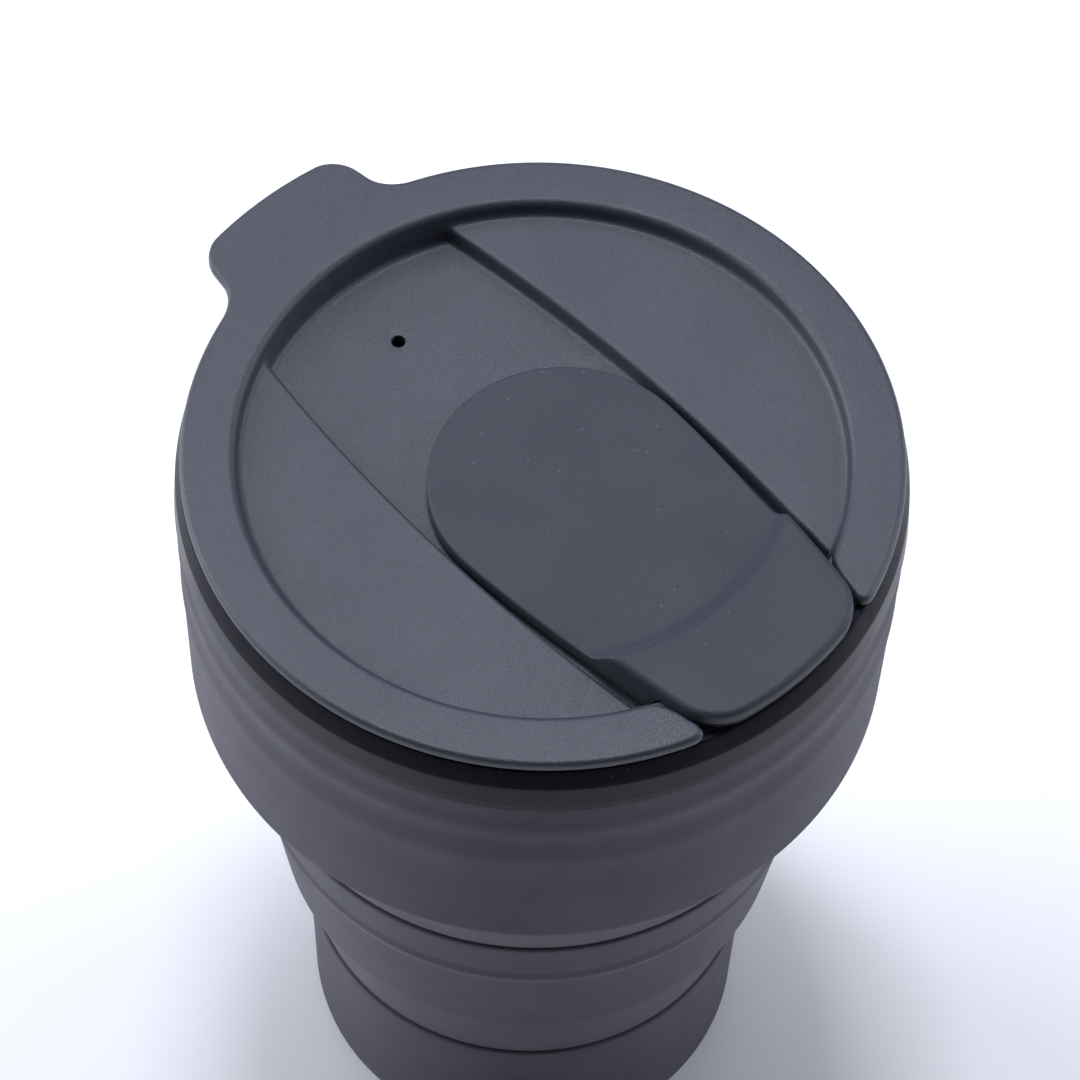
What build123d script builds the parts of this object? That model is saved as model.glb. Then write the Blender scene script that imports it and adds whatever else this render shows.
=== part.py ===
"""Collapsible silicone travel cup with a push-on lid and a flip-up sip stopper.

Frame: millimetres, +Z up, origin at the centre of the base on the table.
The sip opening is on the -Y side and the lid's lift tab on the +Y side.
The cup is drawn at full height. The silicone body telescopes: each tier hangs
from the next by a thin conical fold, and a fold turns inside out when its tier
is pushed down by twice the fold's height.
"""
import os
from math import hypot

from build123d import *

os.makedirs("parts", exist_ok=True)

# ---- heights, from the table up ------------------------------------------------
BASE_TOP = 31.0            # top of the bottom tier, where the lower fold starts
MIDDLE_BOTTOM = 46.5       # bottom edge of the middle tier
MIDDLE_TOP = 78.3          # top of the middle tier, where the upper fold starts
UPPER_BOTTOM = 95.8        # bottom edge of the upper tier
COLLAR_BOTTOM = 131.5      # lower edge of the collar ring
NECK_TOP = 138.5           # top of the silicone neck inside the collar
FLANGE_UNDER = 139.5       # underside of the lid's flange
RIM = 141.1                # top of the lid's rim

# ---- silicone body -------------------------------------------------------------
WALL = 2.2                 # tier wall
FOLD_WALL = 1.3            # fold wall, thinner so that it can turn inside out
BASE_R = 32.2              # outer radius at the table
BASE_TOP_R = 33.0          # outer radius at the top of the bottom tier
BASE_FLOOR = 3.2           # thickness of the cup's floor
BASE_WAIST_Z = 15.0        # where the bottom tier's wall changes its slope
BASE_WAIST_R = 32.5
MIDDLE_BOTTOM_R = 36.6
MIDDLE_TOP_R = 40.7
UPPER_BOTTOM_R = 48.0
UPPER_TOP_R = 48.3
NECK_R = 46.0              # silicone neck under the collar
NECK_BORE_R = 43.9
FOLD_GAP = 0.3             # drawn gap at the end of a fold that joins another tier
FOLD_INSET = 0.4           # how far inside a tier's outer edge its fold starts
INNER_EDGE = 0.7           # rounding of the tiers' inner edges
OUTER_EDGE = 0.9           # rounding of the tiers' outer edges
STRAIGHT_TOP = 104.0       # top of the straight part of the drinking wall
NECK_START = 122.0         # where the drinking wall draws in to the neck
NECK_END = 128.0
BEAD_Z = 67.5              # rounded bead on the middle tier
BEAD_OUT = 0.45            # how far it stands out

# ---- collar ring ---------------------------------------------------------------
COLLAR_R = 48.6
COLLAR_SHOULDER_R = 48.3
COLLAR_SHOULDER_Z = 136.1
COLLAR_TOP_R = 47.0
COLLAR_TOP = 138.7
COLLAR_BORE_R = 46.05

# ---- lid -----------------------------------------------------------------------
LID_R = 47.5
RIM_INNER_R = 40.5         # top of the wall round the well, before rounding
WELL_R = 39.3              # foot of that wall
CHANNEL_END_R = 38.6       # round ends of the channel
WING_EDGE = 0.45           # rounding along the edges of the wings
SIDE_REAR = (15.2, 44.0)   # the channel's bowed side runs through these three points
SIDE_MIDDLE = (19.3, -1.0)
SIDE_FRONT = (16.2, -44.0)
FLOOR_DROP = 5.0           # channel floor below the rim
LID_WALL = 1.7
SKIRT_R = 43.55            # plug skirt that fits the cup's mouth
SKIRT_BORE_R = 41.8
SKIRT_BOTTOM = 131.5
VENT_D = 1.9
VENT_Y = 28.2
LIFT_TAB_R = 55.6          # end arc of the lift tab, concentric with the lid
NOTCH_DROP = 1.2           # notch in the rim that takes the stopper's tab
SIP_Y = -30.0
SIP_LENGTH = 17.0
SIP_WIDTH = 7.0

# ---- stopper -------------------------------------------------------------------
PLATE_DROP = 2.4           # top of the stopper's plate below the rim
STOPPER_LIFT = 0.3         # clearance over the channel floor
STOPPER_REAR_R = 18.35     # round rear end of the plate
STOPPER_REAR_Y = -4.5      # centre of that round end
TAB_RISE = 1.4             # top of the thumb tab above the rim
TAB_END_R = 47.3
STEP_R = 31.6              # the step between plate and tab, concentric with the lid
HINGE_Y = 2.0
HINGE_GAP = 0.4
STUD_Y = 7.8
STUD_R = 2.6
PLATE_EDGE = 0.35          # rounding round the plate

PLATE_TOP = RIM - PLATE_DROP
CHANNEL_FLOOR = RIM - FLOOR_DROP
STOPPER_UNDER = CHANNEL_FLOOR + STOPPER_LIFT


def turned(points, name):
    """A solid of revolution about Z from a closed (radius, height) outline."""
    with BuildPart() as body:
        with BuildSketch(Plane.XZ):
            with BuildLine():
                Polyline(*points, close=True)
            make_face()
        revolve(axis=Axis.Z)
    body.part.label = name
    return body


def save(body, name):
    body.part.label = name
    export_step(body.part, "parts/" + name + ".step")


def spread(edge):
    """Least and greatest distance of an edge from the Z axis."""
    radii = [hypot(edge.position_at(t).X, edge.position_at(t).Y) for t in (0, 0.25, 0.5, 0.75, 1)]
    return min(radii), max(radii)


def flat_edges(body, height, tol=0.02):
    """Edges that lie in one horizontal plane."""
    found = []
    for edge in body.edges():
        box = edge.bounding_box()
        if abs(box.min.Z - height) < tol and abs(box.max.Z - height) < tol:
            found.append(edge)
    return found


def edges_near(body, radius, height, tol=0.05):
    """Circular edges about Z at a given radius and height."""
    found = []
    for edge in body.edges().filter_by(GeomType.CIRCLE):
        if abs(edge.radius - radius) < tol and abs(edge.arc_center.Z - height) < tol:
            found.append(edge)
    return found


# ==== bottom tier: floor and a near-vertical wall ===============================
with BuildPart() as base_tier:
    with BuildSketch(Plane.XZ):
        with BuildLine():
            Polyline(
                (0, 0), (BASE_R, 0), (BASE_WAIST_R, BASE_WAIST_Z), (BASE_TOP_R, BASE_TOP),
                (BASE_TOP_R - WALL, BASE_TOP), (BASE_WAIST_R - WALL, BASE_WAIST_Z),
                (BASE_R - WALL, BASE_FLOOR), (0, BASE_FLOOR), close=True,
            )
        make_face()
    revolve(axis=Axis.Z)
    fillet(edges_near(base_tier, BASE_R, 0), 3.0)
    fillet(edges_near(base_tier, BASE_R - WALL, BASE_FLOOR), 3.5)
    fillet(edges_near(base_tier, BASE_TOP_R, BASE_TOP), INNER_EDGE)
    fillet(edges_near(base_tier, BASE_TOP_R - WALL, BASE_TOP), INNER_EDGE)
save(base_tier, "base_tier")


# ==== middle tier: tapered, with a rounded bead near its top =====================
slope = (MIDDLE_TOP_R - MIDDLE_BOTTOM_R) / (MIDDLE_TOP - MIDDLE_BOTTOM)
bead_r = MIDDLE_BOTTOM_R + slope * (BEAD_Z - MIDDLE_BOTTOM)
with BuildPart() as middle_tier:
    with BuildSketch(Plane.XZ):
        with BuildLine():
            Polyline(
                (MIDDLE_BOTTOM_R, MIDDLE_BOTTOM),
                (bead_r - slope * 2.2 + 0.1, BEAD_Z - 2.2), (bead_r + BEAD_OUT, BEAD_Z),
                (bead_r + slope * 1.5 + 0.1, BEAD_Z + 1.5), (MIDDLE_TOP_R, MIDDLE_TOP),
                (MIDDLE_TOP_R - WALL, MIDDLE_TOP), (MIDDLE_BOTTOM_R - WALL, MIDDLE_BOTTOM),
                close=True,
            )
        make_face()
    revolve(axis=Axis.Z)
    fillet(edges_near(middle_tier, bead_r + BEAD_OUT, BEAD_Z), 1.2)
    fillet(edges_near(middle_tier, MIDDLE_BOTTOM_R, MIDDLE_BOTTOM), OUTER_EDGE)
    fillet(edges_near(middle_tier, MIDDLE_TOP_R, MIDDLE_TOP), OUTER_EDGE)
    fillet(edges_near(middle_tier, MIDDLE_BOTTOM_R - WALL, MIDDLE_BOTTOM), INNER_EDGE)
    fillet(edges_near(middle_tier, MIDDLE_TOP_R - WALL, MIDDLE_TOP), INNER_EDGE)
save(middle_tier, "middle_tier")


# ==== upper tier: drinking wall, two soft swells, and a neck under the collar =====
with BuildPart() as upper_tier:
    with BuildSketch(Plane.XZ):
        with BuildLine():
            Polyline(
                (UPPER_BOTTOM_R, STRAIGHT_TOP), (UPPER_BOTTOM_R, UPPER_BOTTOM),
                (UPPER_BOTTOM_R - WALL, UPPER_BOTTOM), (UPPER_BOTTOM_R - WALL, NECK_START),
                (NECK_BORE_R, NECK_END), (NECK_BORE_R, NECK_TOP), (NECK_R, NECK_TOP),
                (NECK_R, COLLAR_BOTTOM - 0.2), (UPPER_TOP_R - 0.2, COLLAR_BOTTOM - 0.2),
            )
            Spline(
                (UPPER_TOP_R - 0.2, COLLAR_BOTTOM - 0.2), (UPPER_TOP_R + 0.1, 126.0),
                (UPPER_TOP_R - 0.25, 121.8), (UPPER_TOP_R, 117.4),
                (UPPER_TOP_R - 0.3, 112.0), (UPPER_BOTTOM_R, STRAIGHT_TOP),
            )
        make_face()
    revolve(axis=Axis.Z)
    fillet(edges_near(upper_tier, UPPER_BOTTOM_R, UPPER_BOTTOM), OUTER_EDGE)
    fillet(edges_near(upper_tier, UPPER_BOTTOM_R - WALL, UPPER_BOTTOM), INNER_EDGE)
    fillet(edges_near(upper_tier, NECK_BORE_R, NECK_TOP), INNER_EDGE)
save(upper_tier, "upper_tier")


# ==== folds: thin cones between the tiers ========================================
def fold(name, low_r, low_z, high_r, high_z):
    """A thin cone; its lower end stops short of the tier that it joins."""
    low_z = low_z + FOLD_GAP
    cone = turned(
        [
            (low_r, low_z), (high_r, high_z),
            (high_r - FOLD_WALL, high_z), (low_r - FOLD_WALL, low_z),
        ],
        name,
    )
    save(cone, name)


fold("lower_fold", BASE_TOP_R - FOLD_INSET, BASE_TOP, MIDDLE_BOTTOM_R - 0.45, MIDDLE_BOTTOM - 0.02)
fold("upper_fold", MIDDLE_TOP_R - FOLD_INSET, MIDDLE_TOP, UPPER_BOTTOM_R - 0.5, UPPER_BOTTOM - 0.02)


# ==== collar ring: hard band around the neck =====================================
with BuildPart() as collar_ring:
    with BuildSketch(Plane.XZ):
        with BuildLine():
            Polyline(
                (COLLAR_BORE_R, COLLAR_BOTTOM), (COLLAR_R, COLLAR_BOTTOM),
                (COLLAR_SHOULDER_R, COLLAR_SHOULDER_Z), (COLLAR_TOP_R, COLLAR_TOP),
                (COLLAR_BORE_R, COLLAR_TOP), close=True,
            )
        make_face()
    revolve(axis=Axis.Z)
    fillet(edges_near(collar_ring, COLLAR_R, COLLAR_BOTTOM), 0.35)
    fillet(edges_near(collar_ring, COLLAR_SHOULDER_R, COLLAR_SHOULDER_Z), 0.8)
save(collar_ring, "collar_ring")


# ==== lid =======================================================================
def channel_outline(grow):
    """The sunk channel: two bowed sides, cut off by a circle at each end."""
    side = [(x + grow, y) for x, y in (SIDE_REAR, SIDE_MIDDLE, SIDE_FRONT)]
    other = [(-x, y) for x, y in reversed(side)]
    with BuildSketch() as outline:
        with BuildLine():
            ThreePointArc(*side)
            Line(side[-1], other[0])
            ThreePointArc(*other)
            Line(other[-1], side[0])
        make_face()
        Circle(CHANNEL_END_R + grow * 0.9, mode=Mode.INTERSECT)
        corners = [v for v in outline.vertices() if abs(v.Y) > 30.0]
        fillet(corners, 1.6 + grow)
    return outline.sketch


def flange_outline():
    """The lid's round flange with the lift tab growing out of its +Y side."""
    with BuildSketch() as outline:
        with BuildLine():
            Polyline((-14.6, 38.0), (-11.9, 60.0), (11.9, 60.0), (14.6, 38.0), close=True)
        make_face()
        Circle(LIFT_TAB_R, mode=Mode.INTERSECT)
        fillet(outline.vertices().sort_by(Axis.Y)[-2:], 3.8)
        Circle(LID_R)
        roots = [v for v in outline.vertices() if 42.0 < v.Y < 47.4 and 12.0 < abs(v.X) < 16.0]
        fillet(roots, 4.0)
    return outline.sketch


def notch_outline():
    """Tapered gap in the rim on the -Y side."""
    with BuildSketch() as outline:
        with BuildLine():
            Polyline((-16.3, -33.0), (-13.6, -46.2), (-13.2, -50.0), (13.2, -50.0),
                     (13.6, -46.2), (16.3, -33.0), close=True)
        make_face()
    return outline.sketch


FLANGE = flange_outline()
CHANNEL = channel_outline(0.0)
TUB = channel_outline(LID_WALL)
NOTCH = notch_outline()

with BuildPart() as lid:
    # flange, rim and lift tab
    with BuildSketch(Plane.XY.offset(FLANGE_UNDER)):
        add(FLANGE)
        Circle(SKIRT_BORE_R - 1.0, mode=Mode.SUBTRACT)
    extrude(amount=RIM - FLANGE_UNDER)
    # skirt, inner slope and the plate that carries the wings
    with BuildSketch(Plane.XZ):
        with BuildLine():
            Polyline(
                (0, PLATE_TOP), (WELL_R, PLATE_TOP), (RIM_INNER_R, RIM),
                (SKIRT_R, RIM), (SKIRT_R, SKIRT_BOTTOM + 0.6), (SKIRT_R - 0.6, SKIRT_BOTTOM),
                (SKIRT_BORE_R, SKIRT_BOTTOM), (SKIRT_BORE_R, PLATE_TOP - LID_WALL),
                (0, PLATE_TOP - LID_WALL), close=True,
            )
        profile = make_face()
        fillet([v for v in profile.vertices() if WELL_R - 0.1 < v.X < RIM_INNER_R + 0.1], 0.6)
    revolve(axis=Axis.Z)
    # the tub under the channel, then the channel itself
    with BuildSketch(Plane.XY.offset(CHANNEL_FLOOR - LID_WALL)):
        add(TUB)
    extrude(amount=PLATE_TOP - CHANNEL_FLOOR + LID_WALL)
    with BuildSketch(Plane.XY.offset(CHANNEL_FLOOR)):
        add(CHANNEL)
    extrude(amount=PLATE_TOP + 6.0 - CHANNEL_FLOOR, mode=Mode.SUBTRACT)
    # soft edges of the channel, inside and on top
    fillet([e for e in flat_edges(lid, CHANNEL_FLOOR) if spread(e)[1] > 37.0], 0.7)
    wing_edges = [e for e in flat_edges(lid, PLATE_TOP) if spread(e)[0] < CHANNEL_END_R - 0.05]
    fillet(wing_edges, WING_EDGE)
    # notch for the stopper's tab, sip opening, vent hole and stud hole
    with BuildSketch(Plane.XY.offset(RIM - NOTCH_DROP)):
        add(NOTCH)
    extrude(amount=6.0, mode=Mode.SUBTRACT)
    with BuildSketch(Plane.XY.offset(CHANNEL_FLOOR + 1.0)):
        with Locations((0, SIP_Y)):
            SlotOverall(SIP_LENGTH, SIP_WIDTH)
        with Locations((0, VENT_Y)):
            Circle(VENT_D / 2)
        with Locations((0, STUD_Y)):
            Circle(STUD_R + 0.05)
    extrude(amount=-(LID_WALL + 3.0), mode=Mode.SUBTRACT)
    # soft outer edge of the flange and tab
    fillet([e for e in flat_edges(lid, RIM) if spread(e)[0] > LID_R - 0.2], 0.8)
    fillet([e for e in flat_edges(lid, FLANGE_UNDER) if spread(e)[0] > LID_R - 0.2], 0.25)
save(lid, "lid")


# ==== stopper: one silicone moulding, drawn as a fixed rear part and a flap ======
def stopper_outline(end_r, corner_r):
    """Plan of the stopper: a round rear end, sides that follow the channel, tapered tab."""
    rear = STOPPER_REAR_Y + STOPPER_REAR_R
    with BuildSketch() as outline:
        with BuildLine():
            ThreePointArc((-STOPPER_REAR_R, STOPPER_REAR_Y), (0, rear),
                          (STOPPER_REAR_R, STOPPER_REAR_Y))
            Spline((STOPPER_REAR_R, STOPPER_REAR_Y), (17.7, -15.0), (16.35, -27.5),
                   (15.3, -35.0), (12.4, -50.0), tangents=((0, -1), (-0.2, -1)))
            Line((12.4, -50.0), (-12.4, -50.0))
            Spline((-12.4, -50.0), (-15.3, -35.0), (-16.35, -27.5), (-17.7, -15.0),
                   (-STOPPER_REAR_R, STOPPER_REAR_Y), tangents=((-0.2, 1), (0, 1)))
        make_face()
        Circle(end_r, mode=Mode.INTERSECT)
        fillet(outline.vertices().sort_by(Axis.Y)[:2], corner_r)
    return outline.sketch


def split_box(low_y, high_y):
    """A box from one Y to another that covers the stopper's whole section."""
    return Pos(0, (low_y + high_y) / 2, RIM) * Box(80, high_y - low_y, 40)


IN_CHANNEL = stopper_outline(CHANNEL_END_R - 0.6, 1.2)
OVER_RIM = stopper_outline(TAB_END_R, 4.2)
REAR_CUT = split_box(HINGE_Y - HINGE_GAP / 2, 40.0)
FRONT_CUT = split_box(-60.0, HINGE_Y + HINGE_GAP / 2)

with BuildPart() as stopper_flap:
    # the part that lies in the channel, at first as high as the tab
    with BuildSketch(Plane.XY.offset(STOPPER_UNDER)):
        add(IN_CHANNEL)
    extrude(amount=RIM + TAB_RISE - STOPPER_UNDER)
    # the tab goes on over the notch in the rim
    with BuildSketch(Plane.XY.offset(RIM - NOTCH_DROP + STOPPER_LIFT)):
        add(OVER_RIM)
    extrude(amount=TAB_RISE + NOTCH_DROP - STOPPER_LIFT)
    # the plate is cut down from the tab by a cone concentric with the lid
    with BuildSketch(Plane.XY.offset(PLATE_TOP)):
        Circle(STEP_R)
    extrude(amount=12.0, taper=-24.0, mode=Mode.SUBTRACT)
    # soft edges: the tab's top, and round the plate
    fillet(flat_edges(stopper_flap, RIM + TAB_RISE), 0.8)
    plate_rim = [e for e in flat_edges(stopper_flap, PLATE_TOP) if spread(e)[0] < STEP_R - 0.2]
    fillet(plate_rim, PLATE_EDGE)
    # oval plug that closes the sip opening
    with BuildSketch(Plane.XY.offset(STOPPER_UNDER + 0.5)):
        with Locations((0, SIP_Y)):
            SlotOverall(SIP_LENGTH - 1.4, SIP_WIDTH - 1.4)
    extrude(amount=-(0.5 + STOPPER_LIFT + LID_WALL + 0.4))
    # everything behind the hinge line belongs to the fixed rear part
    add(REAR_CUT, mode=Mode.SUBTRACT)
save(stopper_flap, "stopper_flap")

with BuildPart() as stopper_anchor:
    with BuildSketch(Plane.XY.offset(CHANNEL_FLOOR)):
        add(IN_CHANNEL)
    extrude(amount=PLATE_TOP - CHANNEL_FLOOR)
    fillet(flat_edges(stopper_anchor, PLATE_TOP), PLATE_EDGE)
    add(FRONT_CUT, mode=Mode.SUBTRACT)
    # stud through the lid with a mushroom head below
    with BuildSketch(Plane.XY.offset(CHANNEL_FLOOR + 0.5)):
        with Locations((0, STUD_Y)):
            Circle(STUD_R)
    extrude(amount=-(0.5 + LID_WALL + 0.1))
    with BuildSketch(Plane.XY.offset(CHANNEL_FLOOR - LID_WALL - 0.05)):
        with Locations((0, STUD_Y)):
            Circle(STUD_R + 1.1)
    extrude(amount=-2.2, taper=18.0)
save(stopper_anchor, "stopper_anchor")
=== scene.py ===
import math

import bpy
import numpy as np
from mathutils import Matrix, Vector
from mathutils.geometry import delaunay_2d_cdt


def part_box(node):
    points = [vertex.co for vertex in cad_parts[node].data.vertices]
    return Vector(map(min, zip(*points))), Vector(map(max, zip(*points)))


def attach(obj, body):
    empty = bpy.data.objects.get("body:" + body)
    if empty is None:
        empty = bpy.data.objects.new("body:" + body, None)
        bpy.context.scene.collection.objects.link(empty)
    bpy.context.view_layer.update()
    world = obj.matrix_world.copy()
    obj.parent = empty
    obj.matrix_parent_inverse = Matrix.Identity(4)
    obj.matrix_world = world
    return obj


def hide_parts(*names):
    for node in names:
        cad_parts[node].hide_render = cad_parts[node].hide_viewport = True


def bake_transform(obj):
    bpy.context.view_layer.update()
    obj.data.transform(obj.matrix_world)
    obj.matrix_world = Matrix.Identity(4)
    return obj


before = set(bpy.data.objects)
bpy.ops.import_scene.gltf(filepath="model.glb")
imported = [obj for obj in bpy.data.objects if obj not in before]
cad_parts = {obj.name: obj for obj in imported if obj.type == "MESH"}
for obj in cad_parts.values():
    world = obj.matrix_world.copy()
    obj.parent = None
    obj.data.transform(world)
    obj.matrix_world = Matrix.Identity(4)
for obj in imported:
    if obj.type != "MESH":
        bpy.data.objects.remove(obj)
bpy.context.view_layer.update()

MM = 0.001
SEGMENTS = 288          # steps round a turned piece

# sizes in millimetres, in the row frame
FLANGE_THICK = 1.6
PLATE_DROP = 2.4        # from the lid's rim down to the wings and the stopper's plate
FLOOR_DROP = 5.0        # from the lid's rim down to the channel's floor
LID_WALL = 1.7
WALL = 2.2              # wall of a tier
FOLD_WALL = 1.3
EDGE = 0.9              # rounding of a tier's outer edge
INNER_EDGE = 0.7

rim_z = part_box("lid")[1].z / MM
lid_bottom_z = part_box("lid")[0].z / MM
flange_z = rim_z - FLANGE_THICK
plate_z = rim_z - PLATE_DROP
floor_z = rim_z - FLOOR_DROP
base_top_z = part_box("base_tier")[1].z / MM
middle_low_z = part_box("middle_tier")[0].z / MM
middle_top_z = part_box("middle_tier")[1].z / MM
upper_low_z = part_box("upper_tier")[0].z / MM
neck_top_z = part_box("upper_tier")[1].z / MM
collar_low_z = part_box("collar_ring")[0].z / MM


# ---------------------------------------------------------------- mesh helpers
def rounded(points, steps=6):
    """Polyline from (x, y, corner radius) points; each corner becomes an arc."""
    pts = [np.array(p[:2], float) for p in points]
    radii = [p[2] if len(p) > 2 else 0.0 for p in points]
    out = []
    for i, p in enumerate(pts):
        if radii[i] <= 0 or i in (0, len(pts) - 1):
            out.append(p)
            continue
        a, b = pts[i - 1] - p, pts[i + 1] - p
        la, lb = np.linalg.norm(a), np.linalg.norm(b)
        a, b = a / la, b / lb
        half = 0.5 * math.acos(max(-1.0, min(1.0, float(a @ b))))
        reach = min(radii[i] / math.tan(half), 0.49 * la, 0.49 * lb)
        radius = reach * math.tan(half)
        centre = p + (a + b) / np.linalg.norm(a + b) * (radius / math.sin(half))
        start, end = p + a * reach - centre, p + b * reach - centre
        a0 = math.atan2(start[1], start[0])
        turn = math.atan2(end[1], end[0]) - a0
        turn = (turn + math.pi) % (2 * math.pi) - math.pi
        for k in range(steps + 1):
            t = a0 + turn * k / steps
            out.append(centre + radius * np.array([math.cos(t), math.sin(t)]))
    return [tuple(p) for p in out]


def closed(points, steps=6):
    """As rounded(), for a closed outline."""
    n = len(points)
    ring = [points[-1]] + list(points) + [points[0]]
    out = []
    for i in range(1, n + 1):
        out += rounded(ring[i - 1:i + 2], steps)[1:-1]
    return out


def finer(profile, longest):
    """Splits the long runs of a closed profile."""
    out = []
    for i, p in enumerate(profile):
        q = profile[(i + 1) % len(profile)]
        n = max(1, int(math.ceil(math.dist(p, q) / longest)))
        out += [(p[0] + (q[0] - p[0]) * k / n, p[1] + (q[1] - p[1]) * k / n) for k in range(n)]
    return out


def piece(name, verts_mm, faces, material, sharp=50):
    """A mesh object in metres from vertices in millimetres, smooth but for sharp edges."""
    mesh = bpy.data.meshes.new(name)
    mesh.from_pydata([(x * MM, y * MM, z * MM) for x, y, z in verts_mm], [], faces)
    mesh.validate()
    mesh.update()
    obj = bpy.data.objects.new(name, mesh)
    bpy.context.scene.collection.objects.link(obj)
    mesh.materials.append(material)
    mesh.shade_smooth()
    mesh.set_sharp_from_angle(angle=math.radians(sharp))
    return obj


def turned(name, profile, material, segments=SEGMENTS, centre=(0, 0)):
    """A closed (radius, height) profile turned about the vertical line through centre."""
    verts, faces, rows = [], [], []
    for r, z in profile:
        if r < 1e-6:
            rows.append([len(verts)] * segments)
            verts.append((centre[0], centre[1], z))
            continue
        rows.append(list(range(len(verts), len(verts) + segments)))
        for k in range(segments):
            a = 2 * math.pi * k / segments
            verts.append((centre[0] + r * math.cos(a), centre[1] + r * math.sin(a), z))
    for i, row in enumerate(rows):
        nxt = rows[(i + 1) % len(rows)]
        if row[0] == row[1] and nxt[0] == nxt[1]:
            continue
        for k in range(segments):
            m = (k + 1) % segments
            quad = [row[k], row[m], nxt[m], nxt[k]]
            faces.append([v for j, v in enumerate(quad) if v not in quad[:j]])
    return piece(name, verts, faces, material)


# ---------------------------------------------------------------- materials
def new_material(name):
    """A node material with its nodes, links, main shader and object coordinates."""
    mat = bpy.data.materials.new(name)
    mat.use_nodes = True
    nodes, links = mat.node_tree.nodes, mat.node_tree.links
    shader = nodes["Principled BSDF"]
    coords = nodes.new("ShaderNodeTexCoord").outputs["Object"]
    return mat, nodes, links, shader, coords


def noise(nodes, links, coords, scale, detail=2.0, rough=0.5):
    """Fractal noise from 0 to 1."""
    n = nodes.new("ShaderNodeTexNoise")
    n.inputs["Scale"].default_value = scale
    n.inputs["Detail"].default_value = detail
    n.inputs["Roughness"].default_value = rough
    links.new(coords, n.inputs["Vector"])
    return n.outputs["Fac"]


def spread_to(nodes, links, value, low, high, new_low, new_high):
    """Value mapped from one range to another, held at the ends."""
    m = nodes.new("ShaderNodeMapRange")
    for key, number in (("From Min", low), ("From Max", high), ("To Min", new_low), ("To Max", new_high)):
        m.inputs[key].default_value = number
    links.new(value, m.inputs["Value"])
    return m.outputs["Result"]


def mix_colour(nodes, links, fac, a, b):
    """Mix of two colours; each input is a value or another node's output."""
    m = nodes.new("ShaderNodeMix")
    m.data_type = "RGBA"
    for socket, value in ((m.inputs["Factor"], fac), (m.inputs["A"], a), (m.inputs["B"], b)):
        if isinstance(value, (tuple, list)):
            socket.default_value = (*value, 1.0)
        elif isinstance(value, float):
            socket.default_value = value
        else:
            links.new(value, socket)
    return m.outputs["Result"]


def bump(nodes, links, height, strength, distance, normal=None):
    """Surface normal bent by a height, on top of an earlier one if given."""
    b = nodes.new("ShaderNodeBump")
    b.inputs["Strength"].default_value = strength
    b.inputs["Distance"].default_value = distance
    links.new(height, b.inputs["Height"])
    if normal is not None:
        links.new(normal, b.inputs["Normal"])
    return b.outputs["Normal"]


def moulded(name, colour, tint, grain, grain_depth, rough, speckle, waviness=0.0, sheen=0.0,
            specular=0.5, specks=0.0):
    """Moulded plastic or silicone: fine surface grain, mottled colour and roughness."""
    mat, nodes, links, shader, coords = new_material(name)
    broad = noise(nodes, links, coords, 38.0, 3.0)
    fine = noise(nodes, links, coords, grain, 2.0, 0.6)
    finer_grain = noise(nodes, links, coords, grain * 2.3, 1.0, 0.5)
    base = mix_colour(nodes, links, spread_to(nodes, links, broad, 0.35, 0.65, 0.0, 1.0), colour, tint)
    dark = tuple(c * (1 - speckle) for c in colour)
    light = tuple(c * (1 + speckle) for c in colour)
    fleck = mix_colour(nodes, links, spread_to(nodes, links, fine, 0.3, 0.7, 0.0, 1.0), dark, light)
    base = mix_colour(nodes, links, 0.5, base, fleck)
    if specks:
        cells = nodes.new("ShaderNodeTexVoronoi")
        cells.inputs["Scale"].default_value = 400.0
        links.new(coords, cells.inputs["Vector"])
        dots = spread_to(nodes, links, cells.outputs["Distance"], 0.035, 0.075, specks, 0.0)
        base = mix_colour(nodes, links, dots, base, tuple(min(1.0, c * 2.6 + 0.03) for c in colour))
    links.new(base, shader.inputs["Base Color"])
    smudges = noise(nodes, links, coords, 75.0, 4.0, 0.6)
    links.new(spread_to(nodes, links, smudges, 0.3, 0.7, rough - 0.05, rough + 0.05),
              shader.inputs["Roughness"])
    shader.inputs["Specular IOR Level"].default_value = specular
    shader.inputs["Sheen Weight"].default_value = sheen
    shader.inputs["Sheen Roughness"].default_value = 0.5
    normal = bump(nodes, links, fine, 0.5, grain_depth)
    normal = bump(nodes, links, finer_grain, 0.35, grain_depth * 0.6, normal)
    if waviness:
        normal = bump(nodes, links, noise(nodes, links, coords, 95.0, 2.0), 0.5, waviness, normal)
    links.new(normal, shader.inputs["Normal"])
    return mat


LID_MAT = moulded("lid_plastic", (0.041, 0.0465, 0.061), (0.0375, 0.0425, 0.056), 6000.0, 0.00012,
                  0.37, 0.7, specular=0.5)
STOPPER_MAT = moulded("stopper_silicone", (0.03, 0.0355, 0.048), (0.027, 0.033, 0.0445), 4200.0, 0.00009,
                      0.58, 0.3, specular=0.4, specks=0.8, sheen=0.05)
BODY_MAT = moulded("body_silicone", (0.028, 0.0265, 0.045), (0.025, 0.0235, 0.041), 4600.0, 0.00016,
                   0.55, 0.6, waviness=0.00006, sheen=0.14, specular=0.24)
COLLAR_MAT = moulded("collar_plastic", (0.0065, 0.0065, 0.012), (0.0055, 0.0055, 0.01), 3600.0, 0.0001,
                     0.32, 0.45, specular=0.08, specks=0.8, sheen=0.1)


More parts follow.
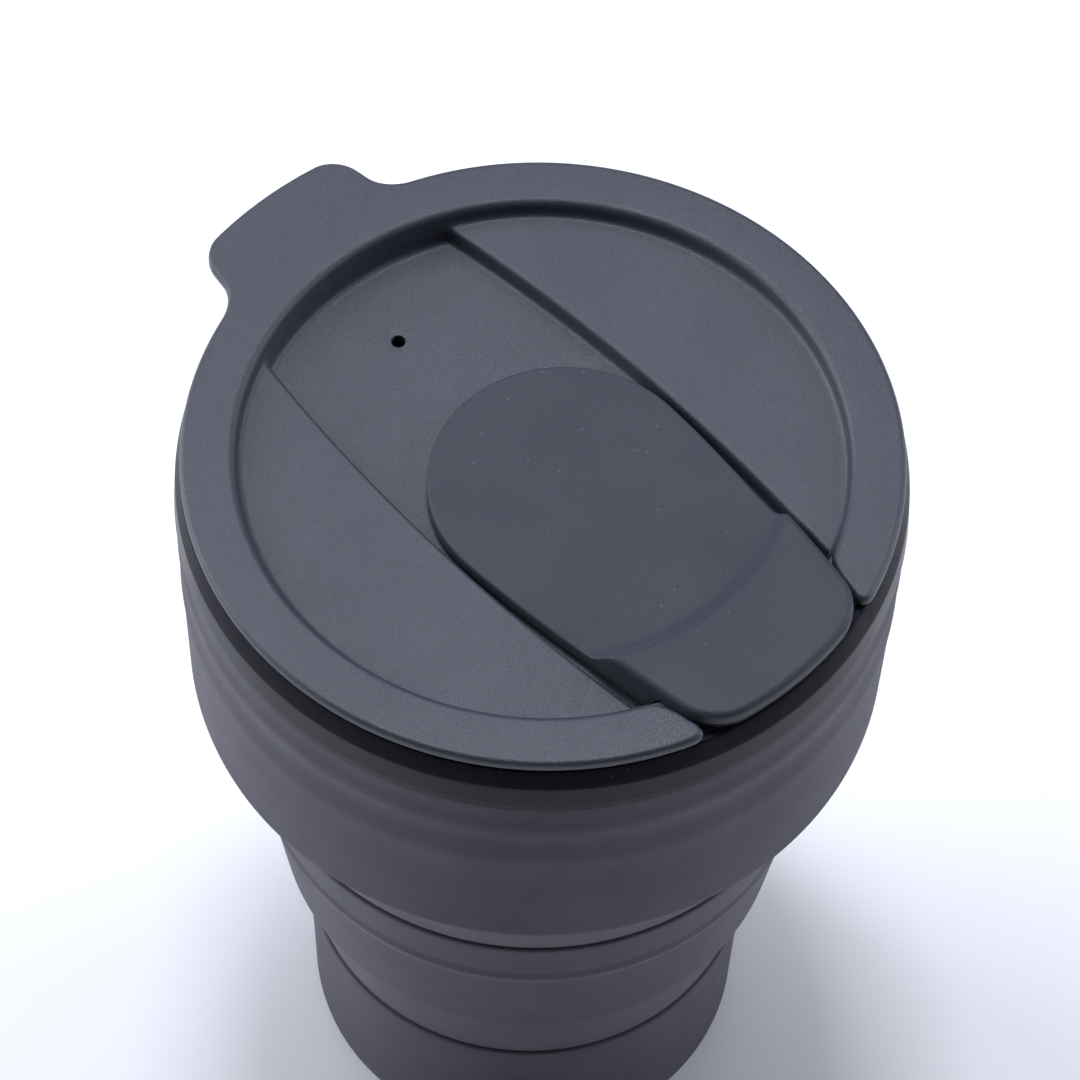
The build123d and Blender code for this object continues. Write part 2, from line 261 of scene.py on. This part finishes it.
# ---------------------------------------------------------------- shapes in plan
def loop_distance(points, loop):
    """Distance from each point to a closed loop, positive inside."""
    points = np.array(points, float).reshape(-1, 2)
    batch = 3000
    if len(points) > batch:
        parts = [loop_distance(points[i:i + batch], loop) for i in range(0, len(points), batch)]
        return np.concatenate(parts)
    p = points[:, None, :]
    a = np.array(loop, float)[None]
    b = np.roll(a, -1, axis=1)
    ab = b - a
    t = np.clip(((p - a) * ab).sum(-1) / np.maximum((ab * ab).sum(-1), 1e-12), 0, 1)
    d = np.linalg.norm(p - (a + ab * t[..., None]), axis=-1).min(1)
    x, y = p[..., 0], p[..., 1]
    spans = (a[..., 1] > y) != (b[..., 1] > y)
    rise = np.where(ab[..., 1] == 0, 1e-12, ab[..., 1])
    cross = spans & (x < (b[..., 0] - a[..., 0]) * (y - a[..., 1]) / rise + a[..., 0])
    inside = cross.sum(1) % 2 == 1
    return np.where(inside, d, -d)


def inset(loop, d):
    """The loop moved inwards by d."""
    p = np.array(loop, float)
    t = np.roll(p, -1, axis=0) - np.roll(p, 1, axis=0)
    n = np.stack([t[:, 1], -t[:, 0]], 1)
    n /= np.linalg.norm(n, axis=1)[:, None]
    area = float((p[:, 0] * np.roll(p[:, 1], -1) - np.roll(p[:, 0], -1) * p[:, 1]).sum())
    return [tuple(q) for q in p + n * (-d if area > 0 else d)]


def corner(a, c, b, steps=10, pull=0.58):
    """Points of a rounded corner from a to b round the corner point c, without its two ends."""
    out = []
    for t in np.linspace(0, 1, steps + 1)[1:-1]:
        out.append(tuple((1 - t) ** 3 * p + 3 * (1 - t) ** 2 * t * (p + pull * (k - p)) +
                         3 * (1 - t) * t * t * (q + pull * (k - q)) + t ** 3 * q
                         for p, k, q in zip(a, c, b)))
    return out


def between(a, b, longest=0.8):
    """Points along a straight run, from a, without b."""
    n = max(1, int(math.dist(a, b) / longest))
    return [(a[0] + (b[0] - a[0]) * k / n, a[1] + (b[1] - a[1]) * k / n) for k in range(n)]


def arc(radius, start, end, longest=0.8):
    """Points on a circle about the origin, angles in radians from +X, without the end."""
    n = max(2, int(abs(end - start) * radius / longest))
    return [(radius * math.cos(t), radius * math.sin(t)) for t in np.linspace(start, end, n + 1)[:-1]]


def ring(radius):
    """A full circle about the lid's axis."""
    return arc(radius, 0, 2 * math.pi, 0.85)


def mirrored(half):
    """Closes a half outline that runs from x = 0 at the rear to x = 0 at the front."""
    return half + [(-x, y) for x, y in reversed(half[1:-1])]


def clipped(lines, loop, margin=0.02):
    """The points of each line that lie inside the loop."""
    out = []
    for line in lines:
        run = [p for p, d in zip(line, loop_distance(line, loop)) if d > margin]
        if len(run) > 1:
            out.append(run)
    return out


# ---------------------------------------------------------------- height fields
def lookup(x, points):
    """Height at x on a profile of (x, height) points."""
    return np.interp(x, [p[0] for p in points], [p[1] for p in points])


def from_axis(pts):
    return np.array([math.hypot(*p) for p in pts])


def round_edge(dist, radius):
    """How far a rounded edge falls below the flat, at a distance in from the edge."""
    near = np.clip(radius - dist, 0, radius)
    return radius - np.sqrt(np.maximum(radius ** 2 - near ** 2, 0))


def joined(a, b, radius):
    """Least of two distances, with a round corner where both are small."""
    both = radius - np.hypot(np.maximum(radius - a, 0), np.maximum(radius - b, 0))
    return np.where((a < radius) & (b < radius), both, np.minimum(a, b))


def sheet_mesh(loops, extra_lines, extra_points, outline, holes=()):
    """Triangles over the inside of outline, following the given loops and lines."""
    verts, edges = [], []
    for loop in loops:
        first = len(verts)
        verts += [Vector(p) for p in loop]
        edges += [(first + k, first + (k + 1) % len(loop)) for k in range(len(loop))]
    for line in extra_lines:
        first = len(verts)
        verts += [Vector(p) for p in line]
        edges += [(first + k, first + k + 1) for k in range(len(line) - 1)]
    verts += [Vector(p) for p in extra_points]
    v, _, f, *_ = delaunay_2d_cdt(verts, edges, [], 0, 1e-5)
    pts = [tuple(p) for p in v]
    mids = [tuple(np.mean([pts[i] for i in face], axis=0)) for face in f]
    keep = loop_distance(mids, outline) > 0
    for hole in holes:
        keep &= loop_distance(mids, hole) < 0
    return pts, [face for face, k in zip(f, keep) if k]


def rim_order(points, loop):
    """Indices of the points that lie on the loop, in order round it."""
    cloud = np.array(points, float)
    order = [int(((cloud - p) ** 2).sum(1).argmin()) for p in np.array(loop, float)]
    assert len(set(order)) == len(order), "two outline points fell on one vertex"
    return order


def height_mesh(name, material, top_sheet, top, low_sheet, low, loops, sharp=60):
    """Closes an upper and a lower height field along their shared outlines."""
    points_top, faces_top = top_sheet
    points_low, faces_low = low_sheet
    verts = [(p[0], p[1], z) for p, z in zip(points_top, top)]
    shift = len(verts)
    verts += [(p[0], p[1], z) for p, z in zip(points_low, low)]

    def facing(tri, up):
        a, b, c = verts[tri[0]], verts[tri[1]], verts[tri[2]]
        flat = (b[0] - a[0]) * (c[1] - a[1]) - (b[1] - a[1]) * (c[0] - a[0])
        return tri if (flat > 0) == up else tri[::-1]

    faces = [facing(list(f), True) for f in faces_top]
    faces += [facing([i + shift for i in f], False) for f in faces_low]
    for loop, outer in loops:
        ring_t = rim_order(points_top, loop)
        ring_l = [i + shift for i in rim_order(points_low, loop)]
        area = sum(p[0] * q[1] - q[0] * p[1] for p, q in zip(loop, loop[1:] + loop[:1]))
        for k in range(len(loop)):
            m = (k + 1) % len(loop)
            quad = [ring_t[k], ring_l[k], ring_l[m], ring_t[m]]
            faces.append(quad if (area > 0) == outer else quad[::-1])
    return piece(name, verts, faces, material, sharp)


# ---------------------------------------------------------------- silicone body
BASE_R, BASE_WAIST_R, BASE_TOP_R = 32.2, 32.5, 33.0
BASE_WAIST_Z, BASE_FLOOR = 15, 3.2
MIDDLE_LOW_R, MIDDLE_TOP_R = 36.6, 40.7
BEAD_Z, BEAD_R = 67.5, 39.7
UPPER_R = 48.0
NECK_R, NECK_BORE_R = 46.0, 43.9
NECK_START, NECK_END = 122.0, 128.0     # the bore draws in to the neck between these heights


def tier(name, body, outline, node):
    """One tier of the cup, turned from its (radius, height, corner radius) outline."""
    obj = turned(name, finer(closed(outline), 1.6), BODY_MAT)
    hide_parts(node)
    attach(obj, body)


def swell(z):
    """Two soft swells on the drinking wall under the collar."""
    return 0.24 * math.exp(-((z - 125.4) / 2.0) ** 2) + 0.2 * math.exp(-((z - 117.2) / 2.6) ** 2)


def fold(name, node, low, high):
    """A thin cone between two tiers; its ends are set into their walls."""
    (r0, z0), (r1, z1) = low, high
    step = (r1 - r0) / (z1 - z0)
    sunk = 0.7
    outline = [(r0 - step * sunk, z0 - sunk), (r1 + step * sunk, z1 + sunk),
               (r1 + step * sunk - FOLD_WALL, z1 + sunk), (r0 - step * sunk - FOLD_WALL, z0 - sunk)]
    obj = turned(name, finer(outline, 0.6), BODY_MAT)
    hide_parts(node)
    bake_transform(obj)


tier("base_tier_shell", "base", [
    (0, 0, 0), (BASE_R, 0, 3.0), (BASE_WAIST_R, BASE_WAIST_Z, 8), (BASE_TOP_R, base_top_z, EDGE),
    (BASE_TOP_R - WALL, base_top_z, INNER_EDGE), (BASE_WAIST_R - WALL, BASE_WAIST_Z, 8),
    (BASE_R - WALL, BASE_FLOOR, 3.5), (0, BASE_FLOOR, 0)], "base_tier")

tier("middle_tier_shell", "middle", [
    (MIDDLE_LOW_R, middle_low_z, 0.95), (BEAD_R - 0.65, BEAD_Z - 2.3, 1.5), (BEAD_R, BEAD_Z, 0.9),
    (BEAD_R - 0.1, BEAD_Z + 1.6, 1.2), (MIDDLE_TOP_R, middle_top_z, EDGE),
    (MIDDLE_TOP_R - WALL, middle_top_z, INNER_EDGE), (MIDDLE_LOW_R - WALL, middle_low_z, INNER_EDGE)],
    "middle_tier")

wall_rows = [(UPPER_R + 0.25 * min(1.0, (z - upper_low_z) / 18.0) + swell(z), z, 0)
             for z in np.linspace(upper_low_z + 2.0, collar_low_z - 1.2, 46)]
tier("upper_tier_shell", "upper", [
    (UPPER_R - WALL, upper_low_z, INNER_EDGE), (UPPER_R, upper_low_z, 1.05), *wall_rows,
    (UPPER_R + 0.2, collar_low_z - 0.2, 0.5), (NECK_R, collar_low_z - 0.2, 0), (NECK_R, neck_top_z, 0.4),
    (NECK_BORE_R, neck_top_z, INNER_EDGE), (NECK_BORE_R, NECK_END, 3), (UPPER_R - WALL, NECK_START, 3)],
    "upper_tier")

fold("lower_fold_skin", "lower_fold",
     (BASE_TOP_R - 0.4, base_top_z), (MIDDLE_LOW_R - 0.45, middle_low_z))
fold("upper_fold_skin", "upper_fold",
     (MIDDLE_TOP_R - 0.4, middle_top_z), (UPPER_R - 0.6, upper_low_z))


# ---------------------------------------------------------------- sizes of lid and stopper
LID_R = 47.5
TAB_END = 55.6                      # end of the lift tab, concentric with the lid
WELL_R, WALL_TOP_R = 39.3, 40.45    # foot and top of the wall round the well
CHANNEL_END_R = 38.8                # foot of the wall at the channel's two ends
STEP = plate_z - floor_z
SIDE_POINTS = (15.2, 44.0), (19.3, -1.0), (16.2, -44.0)     # on the channel's bowed side
VENT_AT, VENT_R = (0.0, 28.2), 0.95
SIP_AT, SIP_HALF, SIP_R = (0.0, -30.0), 5.0, 3.5
STUD_AT, STUD_R = (0.0, 7.8), 2.6
SKIRT_BORE_R, SKIRT_R = 41.8, 43.55
NOTCH_GAP = 0.28                    # between the stopper's tab and the rim on each side
NOTCH_DROP = 1.2                    # the notch's floor below the rim
NOTCH_CORNER = 2.8                  # round corners where the notch meets the well's wall
NOTCH_STEEP = 1.7                   # slope of the notch's sides against the well's wall

REAR_R, REAR_Y = 18.35, -4.5        # round rear end of the stopper
FRONT_R = 47.3                      # front end of the thumb tab, concentric with the lid
STOPPER_LOW = floor_z + 0.3
THUMB_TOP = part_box("stopper_flap")[1].z / MM
THUMB_LOW = rim_z - 0.9

# half width of the stopper along its length, as a smooth curve through these places
SIDE_Y = [REAR_Y, -10.0, -15.0, -27.5, -35.0, -50.0]
SIDE_X = [REAR_R, 18.15, 17.7, 16.35, 15.3, 12.4]
side_fit = np.polyfit(SIDE_Y, SIDE_X, 4)


def slot_loop(at, half, radius, count=48):
    """Outline of a slot with round ends, its length along X."""
    out = []
    for t in np.linspace(-math.pi / 2 + 0.01, 1.5 * math.pi - 0.01, count + 1)[:-1]:
        shift = half * (1 if math.cos(t) >= 0 else -1)
        out.append((at[0] + shift + radius * math.cos(t), at[1] + radius * math.sin(t)))
    return out


# ---------------------------------------------------------------- stopper
def stopper_outline():
    """Closed outline from the middle of the rear end, past the side and the tab's corner to the front."""
    half = [(REAR_R * math.sin(a), REAR_Y + REAR_R * math.cos(a)) for a in np.linspace(0, math.pi / 2, 40)]
    half += [(float(np.polyval(side_fit, y)), float(y)) for y in np.linspace(-4.9, -41.0, 70)]
    tip_y = -45.35
    tip_x = float(np.polyval(side_fit, tip_y))
    end_x = tip_x - 4.6
    end = (end_x, -math.sqrt(FRONT_R ** 2 - end_x ** 2))
    half += corner(half[-1], (tip_x, tip_y), end, 13, 0.6) + [end]
    half += [(float(x), -math.sqrt(FRONT_R ** 2 - x * x)) for x in np.linspace(end_x, 0, 18)[1:]]
    return mirrored(half)


riser = rounded([(0, plate_z), (31.0, plate_z, 2.6), (33.2, THUMB_TOP, 1.6), (60, THUMB_TOP)], 8)


def stopper_top(pts, dist):
    """Plate, then a soft step up to the thumb tab; the edge is rounder on the tab."""
    z = lookup(from_axis(pts), riser)
    share = np.clip((z - plate_z) / (THUMB_TOP - plate_z), 0, 1)
    return z - round_edge(dist, 0.4 + 0.55 * share)


def stopper_under(pts, dist):
    """Flat under the channel part, then up beside the wall of the well to the tab's underside."""
    z = np.interp(from_axis(pts), [38.7, WELL_R, 40.1], [STOPPER_LOW, plate_z, THUMB_LOW])
    return z + round_edge(dist, 0.3)


def front_arc(radius):
    """An arc about the lid's axis across the stopper's front part."""
    low, high = -math.pi * 0.72, -math.pi * 0.28
    steps = int((high - low) * radius / 0.5)
    return [(radius * math.cos(a), radius * math.sin(a)) for a in np.linspace(low, high, steps)]


def stopper():
    """The stopper's plate and tab, between the lid and the flap, with close rows of points across it near
    the stud.
    """
    top_loops = [inset(outline, d) for d in (0.0, 0.04, 0.1, 0.2, 0.32, 0.45, 0.62, 0.8, 0.96)]
    low_loops = [outline] + [inset(outline, d) for d in (0.05, 0.15, 0.3)]
    riser_arcs = clipped([front_arc(r) for r in np.arange(29.0, 34.9, 0.25)], outline)
    wall_arcs = clipped([front_arc(r) for r in (38.7, 39.0, WELL_R, 39.7, 40.1)], outline, 0.0)
    bend_rows = clipped([[(x, y) for x in np.arange(-18.5, 18.6, 0.9)] for y in np.arange(-6.0, 6.1, 0.5)],
                        outline, 1.0)
    grid = [(x, y) for x in np.arange(-18, 18.1, 2.0) for y in np.arange(-46, 14, 2.0)]
    grid = [p for p, d in zip(grid, loop_distance(grid, outline))
            if d > 1.2 and not 28.8 < math.hypot(*p) < 35.1]
    top_sheet = sheet_mesh(top_loops, riser_arcs + bend_rows, grid, outline)
    low_sheet = sheet_mesh(low_loops, wall_arcs + bend_rows, grid, outline)
    top = stopper_top(top_sheet[0], np.maximum(loop_distance(top_sheet[0], outline), 0))
    low = stopper_under(low_sheet[0], np.maximum(loop_distance(low_sheet[0], outline), 0))
    obj = height_mesh("stopper_moulding", STOPPER_MAT,
                      top_sheet, top, low_sheet, low, [(outline, True)])
    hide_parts("stopper_flap", "stopper_anchor")
    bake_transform(obj)


def sip_plug():
    """Oval plug under the flap: a straight side, a small bead and a domed end."""
    top, low = floor_z + 0.8, floor_z - 2.3
    rows = [(top, 0.7), (floor_z - 0.9, 0.7), (floor_z - 1.3, 0.55), (floor_z - 1.7, 0.55),
            (low + 0.5, 0.8), (low + 0.15, 1.1), (low, 1.6), (low - 0.05, 2.3)]
    verts, faces = [], []
    for z, gap in rows:
        verts += [(x, y, z) for x, y in slot_loop(SIP_AT, SIP_HALF, SIP_R - gap)]
    n = len(verts) // len(rows)
    for i in range(len(rows) - 1):
        for k in range(n):
            m = (k + 1) % n
            faces.append([i * n + k, (i + 1) * n + k, (i + 1) * n + m, i * n + m])
    faces.append(list(range(n)))
    faces.append([(len(rows) - 1) * n + k for k in reversed(range(n))])
    obj = piece("sip_plug", verts, faces, STOPPER_MAT)
    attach(obj, "flap")


def stud():
    """Stud that holds the stopper: a stem through the channel floor and a mushroom head below it."""
    top, under = floor_z + 0.8, floor_z - 1.75
    low = under - 2.15
    profile = closed([(0, top, 0), (STUD_R, top, 0), (STUD_R, under, 0), (STUD_R + 1.1, under, 0.25),
                      (STUD_R + 0.4, low, 0.7), (0, low, 0)])
    obj = turned("stopper_stud", profile, STOPPER_MAT, 64, STUD_AT)
    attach(obj, "lid")


outline = stopper_outline()
stopper()
sip_plug()
stud()


# ---------------------------------------------------------------- lid
def lift_tab_side(y):
    """A point on the lift tab's tapered side."""
    return 14.6 - 3.1 * (y - 38.0) / 22.0, y


def flange_half():
    """Half of the lid's outline, from the middle of the lift tab round to the front."""
    # end of the lift tab, its corner and its side
    end_x = 9.0
    end = (end_x, math.sqrt(TAB_END ** 2 - end_x ** 2))
    side_start, side_end = lift_tab_side(50.6), lift_tab_side(48.6)
    half = arc(TAB_END, math.pi / 2, math.atan2(end[1], end[0])) + [end]
    half += corner(end, lift_tab_side(54.15), side_start)
    half += between(side_start, side_end) + [side_end]
    # hollow corner at the tab's root, then the lid's round edge
    root_x = 17.2
    root = (root_x, math.sqrt(LID_R ** 2 - root_x ** 2))
    half += corner(side_end, lift_tab_side(45.6), root)
    # the edge turns in beside the stopper's tab and runs on under it
    beside_y = -43.6
    beside = (float(np.polyval(side_fit, beside_y)) + NOTCH_GAP, beside_y)
    tip_x = beside[0] - 0.2
    tip = (tip_x, -math.sqrt(LID_R ** 2 - tip_x ** 2))
    turn_at = math.atan2(tip[1], tip[0]) + 2.4 / LID_R
    round_from = (LID_R * math.cos(turn_at), LID_R * math.sin(turn_at))
    half += arc(LID_R, math.atan2(root[1], root[0]), turn_at) + [round_from]
    half += corner(round_from, tip, beside, 8) + [beside]
    under_tab = 0.15
    half += [p for p in inset(outline, under_tab) if p[0] > 0.5 and p[1] < -42.6]
    return half + [(0.0, under_tab - FRONT_R)]


def bowed(y):
    """Half width of the channel: a long arc through three points of its side."""
    (x0, y0), (x1, y1), (x2, y2) = SIDE_POINTS
    m = np.linalg.solve([[2 * (x1 - x0), 2 * (y1 - y0)], [2 * (x2 - x0), 2 * (y2 - y0)]],
                        [x1 ** 2 + y1 ** 2 - x0 ** 2 - y0 ** 2, x2 ** 2 + y2 ** 2 - x0 ** 2 - y0 ** 2])
    radius = math.hypot(x0 - m[0], y0 - m[1])
    return float(m[0] + math.sqrt(radius ** 2 - (y - m[1]) ** 2))


def strip_outline():
    """The channel's two bowed sides, run out past the wall of the well."""
    reach = 44.0
    side = [(bowed(y), float(y)) for y in np.linspace(reach, -reach, 110)]
    return mirrored([(0.0, reach)] + side + [(0.0, -reach)])


def hole_round(at, radius):
    """A round hole's outline."""
    return [(at[0] + radius * math.cos(t), at[1] + radius * math.sin(t))
            for t in np.linspace(0, 2 * math.pi, 33)[:-1]]


flange = mirrored(flange_half())
strip = strip_outline()
vent = hole_round(VENT_AT, VENT_R)
sip = slot_loop(SIP_AT, SIP_HALF, SIP_R)
stud_hole = hole_round(STUD_AT, STUD_R + 0.05)

# profiles of (radius, height), or of (distance in from the channel's side, height)
rim_curve = [(WALL_TOP_R, rim_z, 1.1), (43.9, rim_z + 0.05, 9), (60, rim_z - 0.25)]
well_profile = rounded([(0, plate_z), (WELL_R + 0.5, plate_z, 0.8)] + rim_curve, 10)
deep_profile = rounded([(0, floor_z), (CHANNEL_END_R + 0.5, floor_z, 1.0), (WELL_R + 0.5, plate_z, 2.0)] +
                       rim_curve, 10)
side_profile = rounded([(-9, STEP), (-0.05, STEP, 0.65), (0.4, 0, 0.6), (30, 0)], 8)
tub_profile = rounded([(-9, 0), (-1.9, 0, 0.5), (-1.5, -STEP, 0.8), (30, -STEP)], 6)
skirt_profile = rounded([
    (0, plate_z - LID_WALL), (SKIRT_BORE_R - 0.9, plate_z - LID_WALL, 0.8),
    (SKIRT_BORE_R, plate_z - LID_WALL - 0.9, 0.3), (SKIRT_BORE_R + 0.02, lid_bottom_z, 0.2),
    (SKIRT_R - 0.65, lid_bottom_z, 0.2), (SKIRT_R - 0.05, lid_bottom_z + 0.8, 0.3),
    (SKIRT_R, flange_z, 0.4), (60, flange_z)], 5)


def notch_depth(pts):
    """Signed distance into the gap in the rim that takes the stopper's tab."""
    x, y = np.abs([p[0] for p in pts]), np.array([p[1] for p in pts])
    half_width = np.polyval(side_fit, np.maximum(y, -50)) + NOTCH_GAP
    return np.where(y < -20, (half_width - x) * 0.98, -20)


def lid_top(pts):
    """Height of the lid's upper face: rim, well, wings, channel and notch."""
    r = from_axis(pts)
    share = lookup(loop_distance(pts, strip), side_profile) / STEP

    def height(radius):
        deep = lookup(radius, deep_profile)
        return deep + (lookup(radius, well_profile) - deep) * share

    beside = -notch_depth(pts)
    wall = WALL_TOP_R + joined(r - WALL_TOP_R, NOTCH_STEEP * beside, NOTCH_CORNER)
    z = np.maximum(height(wall), np.minimum(height(r), rim_z - NOTCH_DROP))
    edge = np.maximum(loop_distance(pts, flange), 0)
    z = np.minimum(z, rim_z + 0.05 - round_edge(edge, 0.85))
    for hole in (vent, sip):
        z = z - round_edge(np.maximum(-loop_distance(pts, hole), 0), 0.12)
    return z


def lid_under(pts):
    """Height of the lid's lower face: flange, plug skirt, and the tub under the channel."""
    r = from_axis(pts)
    z = lookup(r, skirt_profile)
    inner = lookup(np.minimum(loop_distance(pts, strip), CHANNEL_END_R - r), tub_profile)
    z = np.where(r < 41.0, z + inner, z)
    return z + round_edge(np.maximum(loop_distance(pts, flange), 0), 0.3)


def side_lines(offsets, radius):
    """Lines along both sides of the channel, each moved inwards by an offset, as far as a circle."""
    lines = [[(side * (bowed(y) - d), float(y)) for y in np.linspace(-40, 40, 110)]
             for d in offsets for side in (-1, 1)]
    return clipped(lines, ring(radius))


def notch_lines(offsets):
    """Lines along both sides of the notch, each moved into the notch by an offset."""
    lines = [[(side * (float(np.polyval(side_fit, y)) + NOTCH_GAP - d), float(y))
              for y in np.linspace(-34, -46.5, 24)]
             for side in (-1, 1) for d in offsets]
    return clipped(lines, flange)


def lid_grid():
    """Loose points over the flat parts of the lid, away from its edges."""
    grid = [(x, y) for x in np.arange(-44, 44.1, 2.2) for y in np.arange(-44, 54, 2.2)]
    out = []
    for p, edge, side in zip(grid, loop_distance(grid, flange), np.abs(loop_distance(grid, strip))):
        r = math.hypot(*p)
        if edge > 1.6 and (side > 1.8 or r > 43) and (r < 37 or r > 43):
            out.append(p)
    return out


def lid():
    """The lid's moulding, from an upper and a lower height field."""
    grid = lid_grid()
    holes = [vent, sip, stud_hole]
    top_loops = [flange] + [inset(flange, d) for d in (0.05, 0.13, 0.25, 0.4, 0.6, 0.9)]
    top_loops += [ring(r) for r in (*np.arange(38.0, 41.4, 0.12), 42.2, 43.9, 45.2)]
    for hole in (vent, sip):
        top_loops += [hole, inset(hole, -0.06), inset(hole, -0.14)]
    top_loops.append(stud_hole)
    top_lines = side_lines(np.arange(-0.9, 1.2, 0.11), WELL_R + 0.25)
    top_lines += notch_lines((-1.4, -1.1, -0.85, -0.65, -0.45, -0.25, -0.1, 0.05, 0.2, 0.4, 0.6, 0.9))
    top_sheet = sheet_mesh(top_loops, top_lines, grid, flange, holes)
    low_loops = [flange] + [inset(flange, d) for d in (0.1, 0.25, 0.42)]
    low_loops += [ring(r) for r in (40.3, 40.6, 40.9, 41.3, 41.6, 41.8, 41.83, 42.0, 42.6, 42.9, 43.1,
                                    43.3, 43.5, 43.56, 43.9)]
    low_loops += [ring(CHANNEL_END_R + d) for d in (0.6, 1.35, 1.42)]
    low_loops += [vent, inset(vent, -0.3), sip, inset(sip, -0.3), stud_hole]
    low_lines = side_lines((-2.2, -1.95, -1.8, -1.7, -1.6, -1.5, -1.35, -1.0, -0.6), CHANNEL_END_R + 1.4)
    low_sheet = sheet_mesh(low_loops, low_lines, grid, flange, holes)
    loops = [(flange, True), (vent, False), (sip, False), (stud_hole, False)]
    obj = height_mesh("lid_moulding", LID_MAT, top_sheet, lid_top(top_sheet[0]),
                      low_sheet, lid_under(low_sheet[0]), loops, 48)
    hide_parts("lid")
    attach(obj, "lid")


lid()


# ---------------------------------------------------------------- collar ring
COLLAR_R, COLLAR_SHOULDER_R, COLLAR_TOP_R, COLLAR_BORE_R = 48.6, 48.3, 47.0, 46.05


def collar():
    """Hard band round the neck, with a shoulder below the lid's flange."""
    top_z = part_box("collar_ring")[1].z / MM
    profile = closed([(COLLAR_BORE_R, collar_low_z, 0.15), (COLLAR_R, collar_low_z, 0.35),
                      (COLLAR_SHOULDER_R, top_z - 2.6, 1.0), (COLLAR_TOP_R, top_z, 0.5),
                      (COLLAR_BORE_R, top_z, 0.15)])
    obj = turned("collar_band", finer(profile, 1.0), COLLAR_MAT)
    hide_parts("collar_ring")
    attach(obj, "upper")


collar()


# ---------------------------------------------------------------- stage, light, camera
CAM_AZIMUTH, CAM_ELEVATION, CAM_DISTANCE = -45.3, 56.17, 0.5892     # degrees and metres
CAM_TILT, CAM_ROLL = -1.04, 2.38        # small turns that set the cup off the middle of the frame
LENS, SENSOR = 150.0, 36.0


def stage_floor():
    """A wide sheet of white paper."""
    half = 3
    mesh = bpy.data.meshes.new("floor")
    mesh.from_pydata([(-half, -half, 0), (half, -half, 0), (half, half, 0), (-half, half, 0)],
                     [], [(0, 1, 2, 3)])
    floor = bpy.data.objects.new("floor", mesh)
    bpy.context.scene.collection.objects.link(floor)
    mat, _, _, shader, _ = new_material("floor_paper")
    shader.inputs["Base Color"].default_value = (0.96, 0.96, 0.96, 1)
    shader.inputs["Roughness"].default_value = 0.9
    shader.inputs["Specular IOR Level"].default_value = 0.1
    mesh.materials.append(mat)


def towards(azimuth, elevation):
    """Unit vector from the cup to a place at an azimuth from the front and an elevation, in degrees."""
    a, e = math.radians(azimuth), math.radians(elevation)
    return Vector((math.sin(a) * math.cos(e), -math.cos(a) * math.cos(e), math.sin(e)))


def area_light(name, azimuth, elevation, distance, size, power, colour=(0.93, 0.96, 1.08)):
    """A square soft light that looks at the lid."""
    light = bpy.data.lights.new(name, "AREA")
    light.size, light.energy, light.color = size, power, colour
    obj = bpy.data.objects.new(name, light)
    bpy.context.scene.collection.objects.link(obj)
    back = towards(azimuth, elevation)
    obj.location = Vector((0, 0, 0.1)) + back * distance
    obj.rotation_mode = "QUATERNION"
    obj.rotation_quaternion = (-back).to_track_quat("-Z", "Y")


def studio_world():
    """A dim fill light; the studio wall above the floor looks pale, and gives no light of its own."""
    world = bpy.data.worlds.new("studio")
    world.use_nodes = True
    nodes, links = world.node_tree.nodes, world.node_tree.links
    fill = nodes["Background"]
    fill.inputs["Color"].default_value = (0.93, 0.96, 1.06, 1)
    fill.inputs["Strength"].default_value = 0.02
    wall = nodes.new("ShaderNodeBackground")
    wall.inputs["Color"].default_value = (0.98, 0.985, 1.0, 1)
    wall.inputs["Strength"].default_value = 0.95
    seen = nodes.new("ShaderNodeLightPath")
    both = nodes.new("ShaderNodeMixShader")
    links.new(seen.outputs["Is Camera Ray"], both.inputs["Fac"])
    links.new(fill.outputs["Background"], both.inputs[1])
    links.new(wall.outputs["Background"], both.inputs[2])
    links.new(both.outputs["Shader"], nodes["World Output"].inputs["Surface"])
    bpy.context.scene.world = world


def camera():
    """Long lens, looking down on the lid from the front left."""
    back = np.array(towards(CAM_AZIMUTH, CAM_ELEVATION))
    azimuth = math.radians(CAM_AZIMUTH)
    right = np.array([math.cos(azimuth), math.sin(azimuth), 0.0])
    axes = np.stack([right, np.cross(back, right), back])
    for axis, degrees in (("X", CAM_TILT), ("Z", CAM_ROLL)):
        axes = np.array(Matrix.Rotation(math.radians(degrees), 3, axis)).T @ axes
    eye = np.array([0, 0, (rim_z - 2.1) * MM]) + back * CAM_DISTANCE
    obj = bpy.data.objects.new("camera", bpy.data.cameras.new("camera"))
    bpy.context.scene.collection.objects.link(obj)
    obj.data.lens, obj.data.sensor_width = LENS, SENSOR
    obj.data.clip_start, obj.data.clip_end = 0.05, 20.0
    obj.matrix_world = Matrix([[*axes[:, i], eye[i]] for i in range(3)] + [[0, 0, 0, 1]])
    bpy.context.scene.camera = obj


stage_floor()
area_light("back_soft", CAM_AZIMUTH + 188, 58, 1.2, 1.0, 5.0)
area_light("left_soft", CAM_AZIMUTH - 105, 25, 1.0, 0.7, 9.6)
area_light("right_soft", CAM_AZIMUTH + 105, 25, 1.0, 0.7, 5.4)
area_light("top_soft", CAM_AZIMUTH + 192, 79, 1.2, 0.22, 6.2)
studio_world()
bpy.context.scene.view_settings.view_transform = "Standard"
camera()
